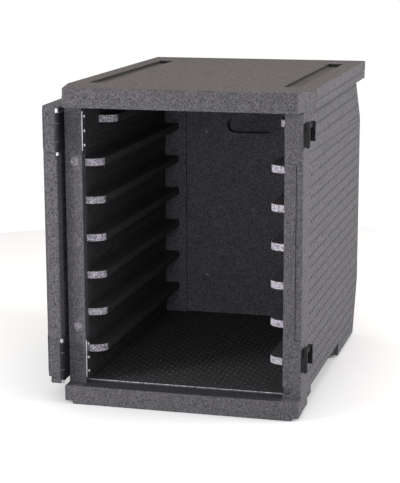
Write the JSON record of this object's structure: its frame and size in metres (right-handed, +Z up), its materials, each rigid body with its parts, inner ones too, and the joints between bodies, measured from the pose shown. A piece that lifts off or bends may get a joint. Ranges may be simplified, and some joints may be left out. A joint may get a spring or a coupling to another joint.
{
  "type": "insulated food carrier",
  "caption": "Front-loading insulated foam food carrier with tray rails inside, a side-hinged door folded back along one side, and two swing latches.",
  "frame": {"origin": "centre of the carrier's base, on the surface that it stands on", "axes": "+X to the right and +Y to the back as seen from the open front, +Z up"},
  "size_m": [0.607, 0.7775, 0.687],
  "materials": {
    "foam": "matte",
    "nylon": "satin",
    "steel": "satin",
    "black_steel": "satin"
  },
  "bodies": {
    "carrier": {"body_shell": "foam", "tray_rail_left_1": "foam", "tray_rail_left_2": "foam", "tray_rail_left_3": "foam", "tray_rail_left_4": "foam", "tray_rail_left_5": "foam", "tray_rail_left_6": "foam", "tray_rail_left_7": "foam", "tray_rail_right_1": "foam", "tray_rail_right_2": "foam", "tray_rail_right_3": "foam", "tray_rail_right_4": "foam", "tray_rail_right_5": "foam", "tray_rail_right_6": "foam", "tray_rail_right_7": "foam", "hinge_upper_body_leaf": "nylon", "hinge_upper_pin": "steel", "hinge_upper_body_backing_plate": "steel", "hinge_upper_body_rivet_1": "steel", "hinge_upper_body_rivet_2": "steel", "hinge_upper_body_rivet_3": "steel", "hinge_lower_body_leaf": "nylon", "hinge_lower_pin": "steel", "hinge_lower_body_backing_plate": "steel", "hinge_lower_body_rivet_1": "steel", "hinge_lower_body_rivet_2": "steel", "hinge_lower_body_rivet_3": "steel", "latch_upper_bracket": "nylon", "latch_upper_pin": "black_steel", "latch_upper_backing_plate": "black_steel", "latch_upper_rivet_1": "black_steel", "latch_upper_rivet_2": "black_steel", "latch_lower_bracket": "nylon", "latch_lower_pin": "black_steel", "latch_lower_backing_plate": "black_steel", "latch_lower_rivet_1": "black_steel", "latch_lower_rivet_2": "black_steel"},
    "door": {"door_panel": "foam", "hinge_upper_door_leaf": "nylon", "hinge_upper_door_backing_plate": "black_steel", "hinge_upper_door_rivet_1": "steel", "hinge_upper_door_rivet_2": "steel", "hinge_upper_door_rivet_3": "steel", "hinge_lower_door_leaf": "nylon", "hinge_lower_door_backing_plate": "black_steel", "hinge_lower_door_rivet_1": "steel", "hinge_lower_door_rivet_2": "steel", "hinge_lower_door_rivet_3": "steel", "latch_upper_keeper": "nylon", "latch_lower_keeper": "nylon"},
    "lever_upper": {"latch_upper_lever": "nylon"},
    "lever_lower": {"latch_lower_lever": "nylon"}
  },
  "joints": [
    {"name": "door_hinge", "type": "hinge", "parent": "carrier", "child": "door", "pos_m": [-0.261, -0.387, 0.3425], "axis": [0, 0, 1], "range_deg": [0, 267]},
    {"name": "latch_upper_swing", "type": "hinge", "parent": "carrier", "child": "lever_upper", "pos_m": [0.265, -0.351, 0.5985], "axis": [0, 0, -1], "range_deg": [0, 180]},
    {"name": "latch_lower_swing", "type": "hinge", "parent": "carrier", "child": "lever_lower", "pos_m": [0.265, -0.351, 0.1235], "axis": [0, 0, -1], "range_deg": [0, 180]}
  ]
}
